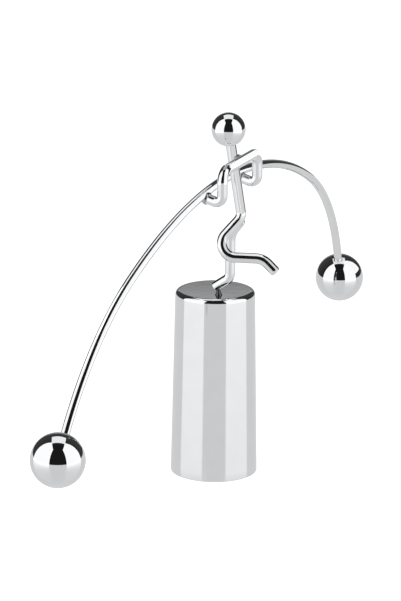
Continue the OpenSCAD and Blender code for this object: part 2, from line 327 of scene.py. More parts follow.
def turned(outline, centre, axis, sides):
    """Rings round an axis: centre + height * axis + radius * (cos t * p + sin t * q), for points
    (radius, height) of an outline, with p and q square to the axis."""
    axis = unit(axis)
    p = unit(np.cross(axis, OFF_AXIS))
    q = np.cross(axis, p)
    t = np.linspace(0, 2 * np.pi, sides, endpoint=False)
    round_about = np.cos(t)[:, None] * p + np.sin(t)[:, None] * q
    radius, height = np.asarray(outline, float).T
    return centre + height[:, None, None] * axis + radius[:, None, None] * round_about


def arc(middle, radius, start_deg, end_deg, count):
    """Points of a circular arc in the outline's plane: middle + radius * (cos a, sin a)."""
    a = np.radians(np.linspace(start_deg, end_deg, count))
    return np.asarray(middle) + radius * np.stack([np.cos(a), np.sin(a)], -1)


# %% [markdown]
# ## The base shell
# The base is a tapered shell, drawn from thin sheet, with a rounded top rim and a flat mirror top that has a
# drilled hole for the pin. The hole could be cut by a boolean, but that leaves long thin faces that a mirror
# shows. The hole isn't in the middle, so the top's rings slide from the rim's circle to the hole's circle.
# Then the rows go down the hole and along the inside, back to the lower edge, and close there.

# %% Base shell
BASE_TOP_R = 15.5
RIM_R, RIM_ROWS = 1.8, 33
SHELL_T = 1.2
HOLE_R = 0.85
LOWER_EDGE_R, LOWER_EDGE_ROWS = 0.3, 7
WALL_ROWS = 26
INNER_CORNER = 0.3
TOP_SLIDES = (0.02, 0.1, 0.25, 0.4, 0.55, 0.7, 0.85, 0.97)
BASE_SIDES = 256

low, high = (np.array(corner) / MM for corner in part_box("base_shell"))
base_low, base_h = low[2], high[2]
base_bottom_r = (high[0] - low[0]) / 2
slope = np.arctan((base_bottom_r - BASE_TOP_R) / (base_h - base_low))


def wall_r(z):
    """Radius of the outer wall at a height: it narrows evenly from the lower edge to the top."""
    return base_bottom_r - (z - base_low) * np.tan(slope)


def base_shell():
    """Rows: lower edge, wall, rim arc, flat top that slides to the hole's circle, hole, inner face."""
    rim_x = wall_r(base_h - RIM_R) - RIM_R / np.cos(slope)
    rim = arc((rim_x, base_h - RIM_R), RIM_R, np.degrees(slope), 90, RIM_ROWS)
    edge_z = base_low + LOWER_EDGE_R
    edge = arc((wall_r(edge_z) - LOWER_EDGE_R, edge_z), LOWER_EDGE_R, -90, 0, LOWER_EDGE_ROWS)
    wall_z = np.linspace(edge_z, rim[0, 1], WALL_ROWS)[1:-1]
    wall = np.stack([wall_r(wall_z), wall_z], -1)
    outside = turned(np.vstack([edge, wall, rim]), ORIGIN, UPRIGHT, BASE_SIDES)
    hole = turned([(HOLE_R, base_h), (HOLE_R, base_h - SHELL_T)],
                  np.array([pivot[0], pivot[1], 0]), UPRIGHT, BASE_SIDES)
    slide = np.array(TOP_SLIDES)[:, None, None]
    top = (1 - slide) * outside[-1] + slide * hole[0]
    inner_z = np.array([base_h - SHELL_T, base_h - SHELL_T - INNER_CORNER, base_low])
    inner_r = wall_r(inner_z) - SHELL_T / np.cos(slope) - np.array([INNER_CORNER, 0, 0])
    inside = turned(np.stack([inner_r, inner_z], -1), ORIGIN, UPRIGHT, BASE_SIDES)
    return np.concatenate([outside, top, hole, inside])


fit(skin("chromed_base", base_shell()), "base_shell", "base", chrome)

# %% [markdown]
# ## Weight and pad
# Inside the shell is a cast weight that keeps the toy from tipping, and under it is a round felt pad. The
# weight is shut in, so its CAD solid stays and only gets its finish. The pad's solid could stay too, but felt
# has soft edges, so the pad is turned anew with rounded ones.

# %% Weight and pad
PAD_EDGE_R, PAD_EDGE_ROWS = 0.25, 6
PAD_RINGS = (0.2, 0.6)        # shares of the pad's radius
PAD_SIDES = 128

frame["nodes"]["base_weight"].data.materials.clear()
frame["nodes"]["base_weight"].data.materials.append(cast_iron)
low, high = (np.array(corner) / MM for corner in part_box("base_pad"))
pad_r = (high[0] - low[0]) / 2
pad_outline = np.vstack([
    [(share * pad_r, low[2]) for share in PAD_RINGS],
    arc((pad_r - PAD_EDGE_R, low[2] + PAD_EDGE_R), PAD_EDGE_R, -90, 0, PAD_EDGE_ROWS),
    arc((pad_r - PAD_EDGE_R, high[2] - PAD_EDGE_R), PAD_EDGE_R, 0, 90, PAD_EDGE_ROWS),
    [(share * pad_r, high[2]) for share in PAD_RINGS[::-1]],
])
pad_rows = turned(pad_outline, ORIGIN, UPRIGHT, PAD_SIDES)
pad = skin("felt_pad", pad_rows, np.outer([low[2], high[2]], UPRIGHT))
fit(pad, "base_pad", "base", felt)

# %% [markdown]
# ## The pin and its ball point
# The pin is a small cone on a shank, with a round cup in its end. A hard ball sits in the cup, and the toe's
# socket rests on the ball. One pointed cone could stand for both, but the ball turns in the pin, so they are
# two pieces. The cone's side is the line that just touches the ball's circle, so its slope comes from the
# foot's radius and the pivot's height.

# %% Pin
PIN_FOOT_R = 1.4
FOOT_IN, FOOT_UP = 0.1, 0.03        # how far the foot's lower edge is broken
SHANK_R, SHANK_L = 0.8, 9.0
SHANK_BEVEL, SHANK_END_R = 0.15, 0.3
SHANK_ROW = 0.05        # a row this far under the foot keeps the corner there crisp
POINT_R = 0.5
CUP_GAP = 0.05
CONE_ROWS, CUP_ROWS, CUP_END_DEG = 8, 12, -85
PIN_SIDES = 64

pivot_h = pivot[2] - base_h
cone_angle = np.arccos(POINT_R / np.hypot(PIN_FOOT_R, pivot_h)) - np.arctan2(pivot_h, PIN_FOOT_R)
touch = POINT_R * np.array([np.cos(cone_angle), np.sin(cone_angle)])
cup_r = POINT_R + CUP_GAP
lip = touch + np.sqrt(cup_r ** 2 - POINT_R ** 2) * unit(np.array([PIN_FOOT_R, -pivot_h]) - touch)
lip_deg = np.degrees(np.arctan2(lip[1], lip[0]))
shank_end = -pivot_h - SHANK_L
pin_outline = np.vstack([
    [(SHANK_END_R, shank_end), (SHANK_R - SHANK_BEVEL, shank_end), (SHANK_R, shank_end + SHANK_BEVEL)],
    [(SHANK_R, -pivot_h - SHANK_ROW), (SHANK_R, -pivot_h)],
    [(PIN_FOOT_R - FOOT_IN, -pivot_h), (PIN_FOOT_R, -pivot_h + FOOT_UP)],
    np.linspace((PIN_FOOT_R, -pivot_h), lip, CONE_ROWS)[1:],
    arc((0, 0), cup_r, lip_deg, CUP_END_DEG, CUP_ROWS)[1:],
])
pin_rows = turned(pin_outline, pivot, UPRIGHT, PIN_SIDES)
pin = skin("turned_pin", pin_rows, pivot + np.outer([shank_end, -cup_r], UPRIGHT))
fit(pin, "pivot_pin", "pin", steel)

# %% Ball point
POINT_ROWS, POINT_SIDES = 25, 48
POINT_POLE_DEG = 88

point_outline = arc((0, 0), POINT_R, POINT_POLE_DEG, -POINT_POLE_DEG, POINT_ROWS)
point_rows = turned(point_outline, pivot, UPRIGHT, POINT_SIDES)
point = skin("ball_point", point_rows, pivot + np.outer([POINT_R, -POINT_R], UPRIGHT))
fit(point, "pivot_point", "point", steel)

# %% [markdown]
# ## Bent wire
# The figure is bent from round wire. Its centreline is straight runs with a round bend at each corner, and a
# circle is carried along it. A curve with a round bevel could make it, but the socket and the saddles below
# need the rings themselves. A bend of radius r that turns by the angle w starts r * tan(w / 2) before the
# corner. The wire's ends are sawn square and deburred, so the last rings draw in round a small edge.

# %% Centrelines and tubes
BEND_STEP_DEG = 2.0
LONGEST_STEP = 2.0
EDGE_ROWS = 7
OFF_WIRE = np.array([0.577, 0.577, 0.578])        # no wire runs this way


def bent_line(corners, radii, longest=LONGEST_STEP):
    """Points and directions of a bent wire: along a bend with centre m, from direction a towards the side x,
    the point is m + r * (sin w * a - cos w * x) and the direction is cos w * a + sin w * x. Straight runs
    get points no further apart than the longest step."""
    corners = np.asarray(corners, float)
    runs = unit(np.diff(corners, axis=0))
    points = [corners[:1]]
    ways = [runs[:1]]
    for corner, a, b, r in zip(corners[1:-1], runs[:-1], runs[1:], radii):
        angle = np.arccos(np.clip(a @ b, -1, 1))
        x = unit(b - (a @ b) * a)
        m = corner - r * np.tan(angle / 2) * a + r * x
        w = np.linspace(0, angle, int(np.degrees(angle) / BEND_STEP_DEG) + 2)[:, None]
        bend = m + r * (np.sin(w) * a - np.cos(w) * x)
        steps = int(np.linalg.norm(bend[0] - points[-1][-1]) / longest) + 2
        points += [np.linspace(points[-1][-1], bend[0], steps)[1:-1], bend]
        ways += [np.repeat(a[None], steps - 2, 0), np.cos(w) * a + np.sin(w) * x]
    steps = int(np.linalg.norm(corners[-1] - points[-1][-1]) / longest) + 2
    points.append(np.linspace(points[-1][-1], corners[-1], steps)[1:])
    ways.append(np.repeat(runs[-1:], steps - 1, 0))
    return np.vstack(points), np.vstack(ways)


def tube(line, ways, radius, edges, sides):
    """Rings of a round wire: c + radius * (cos t * p + sin t * q), with p and q square to the direction. At
    each end the rings follow a quarter circle: for a from 0 to 90 degrees they lie edge * (1 - cos a) from
    the end and draw in by edge * (1 - sin a). Also gives the two tips, the middles of the sawn ends."""
    a = np.linspace(0, np.pi / 2, EDGE_ROWS)
    first, last = (edge * (1 - np.cos(a))[:, None] for edge in edges)
    draws = [edge * (1 - np.sin(a)) for edge in edges]
    tips = line[[0, -1]]
    inner = np.linalg.norm(line - line[0], axis=1) > edges[0]
    inner &= np.linalg.norm(line - line[-1], axis=1) > edges[1]
    centres = np.vstack([line[0] + first * ways[0], line[inner], line[-1] - last[::-1] * ways[-1]])
    ends = [np.repeat(ways[k][None], EDGE_ROWS, 0) for k in (0, -1)]
    ways = np.vstack([ends[0], ways[inner], ends[1]])
    radii = np.concatenate([radius - draws[0], np.full(inner.sum(), radius), radius - draws[1][::-1]])
    p = unit(np.cross(ways, OFF_WIRE))
    q = np.cross(ways, p)
    t = np.linspace(0, 2 * np.pi, sides, endpoint=False)
    ring = np.cos(t)[None, :, None] * p[:, None] + np.sin(t)[None, :, None] * q[:, None]
    return centres[:, None] + radii[:, None, None] * ring, tips


# %% [markdown]
# ## The standing leg
# One short wire is the standing leg: a toe that slopes down to the pin, the shin, a bent knee and the thigh.
# Under the toe is a conical socket that rests on the ball point. A boolean could cut it, but it is pressed
# into the grid instead, which keeps the mesh clean: every point that lies inside the cone is lifted onto it.

# %% Standing leg
WIRE_R = 2.0
TOE_EDGE, THIGH_EDGE = 0.5, 1.6
WIRE_SIDES = 72
TOE_LIFT, TOE_REACH, TOE_DEG = 2.2, 1.7, 35.0
SHIN_BACK, KNEE_H = 4.7, 22.8
HIP_BACK, HIP_H, HIP_LAP = 11.0, 31.2, 2.4
ANKLE_BEND, KNEE_BEND = 4.0, 8.0
SOCKET_DEG, SOCKET_GAP, SOCKET_STEP = 55.0, 0.08, 0.15

toe_fall = np.tan(np.radians(TOE_DEG))
toe_end = np.array([0, TOE_REACH, TOE_LIFT - TOE_REACH * toe_fall])
ankle = np.array([0, -SHIN_BACK, TOE_LIFT + SHIN_BACK * toe_fall])
knee = np.array([0, -SHIN_BACK, KNEE_H])
hip = np.array([0, -HIP_BACK, HIP_H])
thigh_way = unit(knee - hip)


def press_socket(points):
    """Lifts points under the cone z = apex - d / tan(half angle) onto it, with d their distance from the
    pivot's upright line."""
    half = np.radians(SOCKET_DEG)
    apex = (POINT_R + SOCKET_GAP) / np.sin(half)
    cone = apex - np.linalg.norm(points[..., :2], axis=-1) / np.tan(half)
    lifted = points.copy()
    lifted[..., 2] = np.maximum(points[..., 2], cone)
    return lifted


leg_line = bent_line([toe_end, ankle, knee, hip + HIP_LAP * thigh_way], [ANKLE_BEND, KNEE_BEND], SOCKET_STEP)
leg_rows, leg_tips = tube(*leg_line, WIRE_R, (TOE_EDGE, THIGH_EDGE), WIRE_SIDES)
leg = skin("standing_leg_wire", pivot + press_socket(leg_rows), pivot + press_socket(leg_tips))
fit(leg, "standing_leg", "figure", chrome)

# %% [markdown]
# ## Trunk and raised leg
# A longer wire beside it is the neck, the trunk, the raised thigh, the shin that trails behind and the foot.
# It could be three wires joined at the hip, but the real one is a single length, and a reflection runs along
# it unbroken. The raised leg is bent in a plane of its own, which swings out to the left of the walk and
# leans out at its lower end.

# %% Trunk wire
WIRE_GAP = 0.2
TRUNK_L, TRUNK_LEAN_DEG = 34.0, 9.8
RAISED_TURN_DEG, RAISED_SPLAY_DEG = 20.0, 15.4
RAISED_KNEE_AHEAD, RAISED_KNEE_DROP = 13.5, 15.3
RAISED_SHIN_L, RAISED_SHIN_DEG = 22.0, 1.4
RAISED_FOOT_L, RAISED_FOOT_DEG = 7.4, 45.0
NECK_EDGE, FOOT_EDGE = 0.3, 1.0
HIP_BEND, RAISED_KNEE_BEND, RAISED_ANKLE_BEND = 4.0, 5.3, 7.0
HEAD_R, NECK_SEAT = 6.5, 5.0


def walking(rise_deg):
    """A direction in the walking plane that runs backwards and rises by an angle a: (0, -cos a, sin a)."""
    a = np.radians(rise_deg)
    return np.array([0, -np.cos(a), np.sin(a)])


def trailing(fall_deg):
    """A direction in the raised leg's plane that runs backwards and falls by an angle a:
    sin a * the plane's own way down - cos a * its way ahead."""
    a = np.radians(fall_deg)
    return np.sin(a) * leg_down - np.cos(a) * leg_ahead


turn, splay = np.radians([RAISED_TURN_DEG, RAISED_SPLAY_DEG])
leg_ahead = np.array([-np.sin(turn), np.cos(turn), 0])
leg_down = np.array([-np.sin(splay) * np.cos(turn), -np.sin(splay) * np.sin(turn), -np.cos(splay)])
wire_pitch = 2 * WIRE_R + WIRE_GAP
trunk_hip = hip - np.array([wire_pitch, 0, 0])
trunk_way = walking(90 + TRUNK_LEAN_DEG)
head_at = trunk_hip + TRUNK_L * trunk_way
neck_end = head_at - (HEAD_R - NECK_SEAT) * trunk_way
raised_knee = trunk_hip + RAISED_KNEE_AHEAD * leg_ahead + RAISED_KNEE_DROP * leg_down
raised_ankle = raised_knee + RAISED_SHIN_L * trailing(RAISED_SHIN_DEG)
raised_toe = raised_ankle + RAISED_FOOT_L * trailing(RAISED_FOOT_DEG)
trunk_line = bent_line([neck_end, trunk_hip, raised_knee, raised_ankle, raised_toe],
                       [HIP_BEND, RAISED_KNEE_BEND, RAISED_ANKLE_BEND])
trunk_rows, trunk_tips = tube(*trunk_line, WIRE_R, (NECK_EDGE, FOOT_EDGE), WIRE_SIDES)
trunk = skin("trunk_and_raised_leg", pivot + trunk_rows, pivot + trunk_tips)
fit(trunk, "trunk_wire", "figure", chrome)

# %% [markdown]
# ## The beam
# The beam is a round rod in a leaning plane. It could be one arc, but on the real toy it bends more towards
# its ends: the middle is a wide arc, the ends are tighter arcs, and straight tails run into the balls. A
# point of an arc with centre m is m + r * (sin a, cos a), with a counted from the top.

# %% Beam
BEAM_R = 1.7
BEAM_EDGE = 0.2
BEAM_SIDES = 64
MID_R, MID_DEG = 202.0, 25.8
END_R, END_DEG = 98.0, 63.7
TAIL_L, BALL_SEAT = 11.3, 2.0
ARC_POINTS, TAIL_POINTS = 60, 6
BEAM_LEAN_DEG = 5.9
BEAM_TOP = np.array([1.42, -3.99, 45.4])


def across(a):
    """(sin a, cos a) for an angle from the top of the arch."""
    return np.stack([np.sin(a), np.cos(a)], -1)


def from_beam_plane(flat):
    """Points (along the span, up) of the beam's plane, leaned forward from the top down, from the pivot."""
    lean = np.radians(BEAM_LEAN_DEG)
    return BEAM_TOP + flat @ np.array([[1, 0, 0], [0, -np.sin(lean), np.cos(lean)]])


mid_a, end_a = np.radians([MID_DEG, END_DEG])
mid_at = np.array([0, -MID_R])
end_at = mid_at + (MID_R - END_R) * across(mid_a)
tail_at = end_at + END_R * across(end_a)
tail_way = np.array([np.cos(end_a), -np.sin(end_a)])
ball_flat = tail_at + TAIL_L * tail_way
half_line = np.vstack([
    mid_at + MID_R * across(np.linspace(0, mid_a, ARC_POINTS)),
    end_at + END_R * across(np.linspace(mid_a, end_a, ARC_POINTS)[1:]),
    tail_at + np.linspace(0, TAIL_L + BALL_SEAT, TAIL_POINTS)[1:, None] * tail_way,
])
other_half = half_line[:0:-1] * [-1, 1]
beam_line = from_beam_plane(np.vstack([other_half, half_line]))
beam_ways = unit(np.gradient(beam_line, axis=0))
beam_rows, beam_tips = tube(beam_line, beam_ways, BEAM_R, (BEAM_EDGE, BEAM_EDGE), BEAM_SIDES)
beam = skin("arched_beam", pivot + beam_rows, pivot + beam_tips)
fit(beam, "beam", "figure", chrome)

# %% [markdown]
# ## Three drilled balls
# The head and the two counterweights are steel balls, drilled for the neck or for the rod. A ready-made
# sphere has no hole. A ball that is turned about its own bore has one, and needs no boolean to cut it.

# %% Balls
BALL_R = 10.0
SEAT_GAP = 0.05
MOUTH_EDGE = 0.15
BORE_RING = 0.5        # share of the bore's radius at the ring in its flat end
BALL_SIDES, BALL_ROWS, BALL_POLE_DEG = 192, 140, -89.6


def drilled_ball(name, centre, bore_way, radius, bore_r, depth):
    """A ball turned about its bore: a sphere's arc from the far pole to the mouth, a small broken edge, the
    bore's wall and its flat end. bore_way points from the ball's middle out of the mouth."""
    mouth = np.degrees(np.arccos((bore_r + MOUTH_EDGE) / radius))
    sphere = arc((0, 0), radius, BALL_POLE_DEG, mouth, BALL_ROWS)
    floor = radius - depth
    bore = [(bore_r, sphere[-1, 1] - MOUTH_EDGE), (bore_r, floor), (BORE_RING * bore_r, floor)]
    rows = turned(np.vstack([sphere, bore]), centre, bore_way, BALL_SIDES)
    return skin(name, rows, centre + np.outer([-radius, floor], bore_way))


balls = {}
for side, name in ((-1, "left_ball"), (1, "right_ball")):
    mirror = np.array([side, 1])
    out = unit(from_beam_plane(-tail_way * mirror) - BEAM_TOP)
    middle = pivot + from_beam_plane(ball_flat * mirror)
    balls[name] = drilled_ball("chromed_" + name, middle, out, BALL_R, BEAM_R + SEAT_GAP, BALL_R + BALL_SEAT)
    fit(balls[name], name, "figure", chrome)

head = drilled_ball("chromed_head", pivot + head_at, -trunk_way, HEAD_R, WIRE_R + SEAT_GAP, NECK_SEAT)
fit(head, "head_ball", "figure", chrome)

# %% [markdown]
# ## Shoulders, arms and hands
# A third wire is the shoulder bar with both arms. It crosses behind the trunk, a little off its middle,
# drops down the upper arms and turns forward at the elbows. Its ends could just run into the beam, but a
# real end is filed to fit. So each forearm ends in a saddle against the beam: a point of the end that lies h
# above the beam's axis is drawn back by the square root of (beam radius squared - h squared).

# %% Arm wire
SHOULDER_UP = 21.8
ARM_HALF, ARM_SHIFT = 17.1, 3.2
ARM_TILT_DEG = 0.8
UPPER_ARM_L = 12.7
FOREARM_DEG = 16.0
SHOULDER_BEND, ELBOW_BEND = 4.5, 2.6
HAND_EDGE = 0.05

trunk_back = walking(TRUNK_LEAN_DEG)
shoulder_seat = trunk_hip + SHOULDER_UP * trunk_way
shoulder_mid = shoulder_seat + wire_pitch * trunk_back
forearm_way = -walking(-FOREARM_DEG)
forearm_l = (BEAM_TOP[1] - shoulder_mid[1]) / forearm_way[1]
tilt = np.radians(ARM_TILT_DEG)
bar_way = np.array([np.cos(tilt), 0, np.sin(tilt)])
drop_way = np.array([np.sin(tilt), 0, -np.cos(tilt)])
shoulders = [shoulder_mid + (side * ARM_HALF - ARM_SHIFT) * bar_way for side in (-1, 1)]
elbows = [corner + UPPER_ARM_L * drop_way for corner in shoulders]
hands = [corner + forearm_l * forearm_way for corner in elbows]


def saddle(points, hand):
    """Draws the points of a forearm's end along the forearm onto the beam's round side. Beside a point, the
    beam's axis lies on the middle arc at the angle asin(x / r)."""
    axis = from_beam_plane(mid_at + MID_R * across(np.arcsin((points[..., 0] - BEAM_TOP[0]) / MID_R)))
    above = (points - axis) @ np.cross([1, 0, 0], forearm_way)
    reach = (axis - hand) @ forearm_way
    back = np.sqrt(np.maximum(BEAM_R ** 2 - above ** 2, 0)) - reach
    return points - back[..., None] * forearm_way


arm_line = bent_line([hands[0], elbows[0], *shoulders, elbows[1], hands[1]],
                     [ELBOW_BEND, SHOULDER_BEND, SHOULDER_BEND, ELBOW_BEND])
arm_rows, arm_tips = tube(*arm_line, WIRE_R, (HAND_EDGE, HAND_EDGE), WIRE_SIDES)
arm_rows[:EDGE_ROWS] = saddle(arm_rows[:EDGE_ROWS], hands[0])
arm_rows[-EDGE_ROWS:] = saddle(arm_rows[-EDGE_ROWS:], hands[1])
arm_tips = np.stack([saddle(arm_tips[k], hands[k]) for k in (0, 1)])
arms = skin("shoulder_bar_and_arms", pivot + arm_rows, pivot + arm_tips)
fit(arms, "arm_wire", "figure", chrome)

# %% [markdown]
# ## Beads of braze
# Braze flows into the corner between two wires and freezes in lumps. Sculpting could shape it, but a
# formula gives the same bead each time. Each is an egg-shaped surface whose radius rises and falls with a few
# waves of the two angles, so that no two flecks of reflection are alike.

# %% Beads
BEAD_ROWS, BEAD_SIDES, BEAD_POLE = 40, 64, 0.02
WIDE_LUMPS, FINE_LUMPS = 0.07, 0.05
HIP_BEAD_AT, HIP_BEAD, HIP_PHASE = 3.5, (1.8, 1.8), 0.4
SHOULDER_BEAD, SHOULDER_PHASE = (1.8, 2.25), 1.3
HAND_BEAD_BACK, HAND_BEAD, HAND_PHASES = 1.0, (1.6, 2.4), (2.1, 0.2)


def bead(name, centre, axis, halves, phase):
    """A lumpy egg about an axis, with half its length and half its width given: with the angle v from pole to
    pole and t round it, the radius is scaled by
    1 + wide lumps * sin(3 t + phase) * sin(2 v) + fine lumps * sin(5 t - 2 phase) * sin(v)."""
    half_length, half_width = halves
    v = np.linspace(BEAD_POLE, np.pi - BEAD_POLE, BEAD_ROWS)
    outline = np.stack([half_width * np.sin(v), half_length * np.cos(v)], -1)
    rows = turned(outline, ORIGIN, axis, BEAD_SIDES)
    t = np.linspace(0, 2 * np.pi, BEAD_SIDES, endpoint=False)[None]
    v = v[:, None]
    wide = WIDE_LUMPS * np.sin(3 * t + phase) * np.sin(2 * v)
    fine = FINE_LUMPS * np.sin(5 * t - 2 * phase) * np.sin(v)
    swell = 1 + wide + fine
    tips = np.outer([half_length, -half_length], unit(axis))
    return skin(name, pivot + centre + swell[..., None] * rows, pivot + centre + tips)


hip_bead_at = (hip + trunk_hip) / 2 + HIP_BEAD_AT * thigh_way
hip_bead = bead("hip_bead", hip_bead_at, thigh_way, HIP_BEAD, HIP_PHASE)
fit(hip_bead, "hip_braze", "figure", braze)
shoulder_bead_at = (shoulder_seat + shoulder_mid) / 2
shoulder_bead = bead("shoulder_bead", shoulder_bead_at, trunk_back, SHOULDER_BEAD, SHOULDER_PHASE)
fit(shoulder_bead, "shoulder_braze", "figure", braze)
for hand, name, phase in zip(hands, ("left_hand", "right_hand"), HAND_PHASES):
    made = bead(name + "_bead", hand - HAND_BEAD_BACK * forearm_way, forearm_way, HAND_BEAD, phase)
    fit(made, name + "_braze", "figure", braze)

# %% [markdown]
# ## The camera
# A long lens from about a metre and a half looks a little down at the toy, from its left and slightly from
# behind. A camera can be aimed by a constraint, but here its directions are worked out, because the studio is
# set out from them. The place and the angles come from the outlines of the base and the balls.

# %% Camera
CAMERA_MM = np.array([-1273.96, -538.44, 449.99])
YAW_DEG, PITCH_DEG, ROLL_DEG = 66.853, 15.404, 0.459
SENSOR_MM = 36.0
FOCAL_PX, LONG_SIDE_PX = 3700.0, 601.0

yaw, pitch, roll = np.radians([YAW_DEG, PITCH_DEG, ROLL_DEG])
right = np.array([np.cos(yaw), -np.sin(yaw), 0])
level = np.array([np.sin(yaw), np.cos(yaw), 0])
ahead = np.cos(pitch) * level - np.sin(pitch) * UPRIGHT
up = np.cross(right, ahead)
turned_right = np.cos(roll) * right + np.sin(roll) * up
turned_up = np.cos(roll) * up - np.sin(roll) * right
lens = bpy.data.cameras.new("camera")
lens.sensor_width = SENSOR_MM
lens.lens = FOCAL_PX * SENSOR_MM / LONG_SIDE_PX
camera = bpy.data.objects.new("camera", lens)
pose = np.eye(4)
pose[:3, :3] = np.stack([turned_right, turned_up, -ahead], -1)
pose[:3, 3] = CAMERA_MM * MM
camera.matrix_world = Matrix(pose)
bpy.context.scene.collection.objects.link(camera)
bpy.context.scene.camera = camera
print("lens in mm:", round(lens.lens, 1))

# %% [markdown]
# ## The studio that the chrome shows
# The toy stands on a round table of white acrylic. A tall white panel stands on each side, a wide one hangs
# overhead and a little behind, and the rest of the room is dark. That is what puts two white windows with a
# dark gap on each ball, a pale lower half under them and bands on the base. A photographed room could do it,
# but lamps can be tuned one by one. All is measured in metres along the camera's own right, toward the
# camera and up.

# %% Panels
PANEL_SIDE = 0.52
PANEL_FRONT, PANEL_REAR = 0.86, -0.08
PANEL_TOP = 1.43
PANEL_LIGHT = 1.2
TOP_HEIGHT = 1.32
TOP_HALF_WIDTH = 0.49
TOP_FRONT, TOP_REAR = 0.05, -1.05
TOP_LIGHT = 0.98


def panel(name, centre, x_axis, y_axis, width, height, light, lit=(), spared=()):
    """A rectangular lamp. Its face looks along -(x cross y), and its power is pi * area * light, so that a
    mirror shows the face at that brightness. It lights the listed pieces alone, or all but those that it
    spares."""
    lamp = bpy.data.lights.new(name, "AREA")
    lamp.shape = "RECTANGLE"
    lamp.size = width
    lamp.size_y = height
    lamp.energy = np.pi * width * height * light
    made = bpy.data.objects.new(name, lamp)
    place = np.eye(4)
    place[:3, :3] = np.stack([x_axis, y_axis, np.cross(x_axis, y_axis)], -1)
    place[:3, 3] = centre
    made.matrix_world = Matrix(place)
    made.visible_camera = False
    bpy.context.scene.collection.objects.link(made)
    if lit or spared:
        group = bpy.data.collections.new(name + "_pieces")
        for piece in (*lit, *spared):
            group.objects.link(piece)
        for entry in group.collection_objects:
            entry.light_linking.link_state = "INCLUDE" if lit else "EXCLUDE"
        made.light_linking.receiver_collection = group
    print(f"{name}: {width:.2f} x {height:.2f} m, light {light}")


toward = -level
panel_mid = (PANEL_FRONT + PANEL_REAR) / 2 * toward + PANEL_TOP / 2 * UPRIGHT
left_mid, right_mid = (panel_mid + side * PANEL_SIDE * right for side in (-1, 1))
panel_size = (PANEL_FRONT - PANEL_REAR, PANEL_TOP)
panel("left_panel", left_mid, toward, UPRIGHT, *panel_size, PANEL_LIGHT)
panel("right_panel", right_mid, -toward, UPRIGHT, *panel_size, PANEL_LIGHT, spared=[trunk, beam])
top_mid = (TOP_FRONT + TOP_REAR) / 2 * toward + TOP_HEIGHT * UPRIGHT
top_size = (2 * TOP_HALF_WIDTH, TOP_FRONT - TOP_REAR)
panel("top_panel", top_mid, right, -toward, *top_size, TOP_LIGHT, spared=[beam, arms])

# %% [markdown]
# ## Cards for single pieces
# A thin wire squeezes a slice of the room into a narrow strip, and a photographer fills its dark sides with
# small cards that the rest hardly shows. More panels could do that, but the balls would show them too, so a
# card here is a lamp that is linked to one piece. The shoulder bar gets one low behind on the right and a dim
# one overhead. The far ball gets one that carries the right panel on. The rod gets a lower one in that
# panel's place, one high on the left, and a long one overhead, turned so that it leaves a dark line all along
# the rod. The trunk gets one low in front, a weaker right panel, and one overhead for the raised leg. The big
# panels that these stand in for spare those pieces. The real balls mirror no wires, so the rod, the trunk,
# the arms and the bead at the shoulders are hidden from mirrored rays.

# %% Cards
CARD_LIGHT, TRUNK_LIGHT, DIM_LIGHT = 1.15, 0.8, 0.45
CARD_REAR = -0.50
BAR_CARD = ((0.62, -0.40, 0.0), (0.24, -0.73, 0.56))
SIDE_CARD = ((PANEL_SIDE, PANEL_REAR, 0.16), (PANEL_SIDE, CARD_REAR, PANEL_TOP))
ROD_SIDE_CARD = ((PANEL_SIDE, 0.5, 0.0), (PANEL_SIDE, CARD_REAR, 0.95))
ROD_LEFT_CARD = ((-0.9, -0.1, 0.45), (-0.62, -0.68, 1.6))
ROD_TOP_CARD, ROD_TOP_WAY, ROD_TOP_SIZE = (-0.26, -0.89), (-0.58, 0.81), (2.05, 0.77)
TRUNK_CARD = ((PANEL_SIDE, PANEL_FRONT, 0.0), (-0.05, 1.15, 0.16))
LEG_CARD_FRONT = 0.5


def card(name, corners, lit, light=CARD_LIGHT):
    """An upright card from one lower corner to the far upper corner, each given as (right, toward, up)."""
    (right_a, toward_a, low_z), (right_b, toward_b, high_z) = corners
    foot = np.array([right_a, toward_a])
    run = np.array([right_b, toward_b]) - foot
    along = unit(run)[0] * right + unit(run)[1] * toward
    middle = foot + run / 2
    centre = middle[0] * right + middle[1] * toward + (low_z + high_z) / 2 * UPRIGHT
    if np.cross(along, UPRIGHT) @ centre < 0:
        along = -along
    panel(name, centre, along, UPRIGHT, np.linalg.norm(run), high_z - low_z, light, lit)


card("bar_card", BAR_CARD, [arms])
panel("arm_card", top_mid, right, -toward, *top_size, DIM_LIGHT, [arms])
card("side_card", SIDE_CARD, [balls["right_ball"]])
card("rod_side_card", ROD_SIDE_CARD, [beam])
card("rod_left_card", ROD_LEFT_CARD, [beam])
level_plane = np.stack([right, toward])
rod_way = unit(np.array(ROD_TOP_WAY)) @ level_plane
rod_top_mid = np.array(ROD_TOP_CARD) @ level_plane + TOP_HEIGHT * UPRIGHT
panel("rod_top_card", rod_top_mid, rod_way, np.cross(UPRIGHT, rod_way), *ROD_TOP_SIZE, CARD_LIGHT, [beam])
card("trunk_card", TRUNK_CARD, [trunk], TRUNK_LIGHT)
panel("trunk_side_card", right_mid, -toward, UPRIGHT, *panel_size, TRUNK_LIGHT, [trunk])
leg_mid = (TOP_FRONT + LEG_CARD_FRONT) / 2 * toward + TOP_HEIGHT * UPRIGHT
leg_size = (2 * TOP_HALF_WIDTH, LEG_CARD_FRONT - TOP_FRONT)
panel("leg_card", leg_mid, right, -toward, *leg_size, CARD_LIGHT, [trunk])
for piece in (beam, trunk, arms, shoulder_bead):
    piece.visible_glossy = False

# %% [markdown]
# ## The table
# The table is a round sheet of white acrylic. Lit by these panels it would look grey to the camera, and
# uneven in the chrome. More light could whiten it, but that would change the toy too. So the acrylic glows
# for the camera and for metal alone, and its gloss still shows the panels.

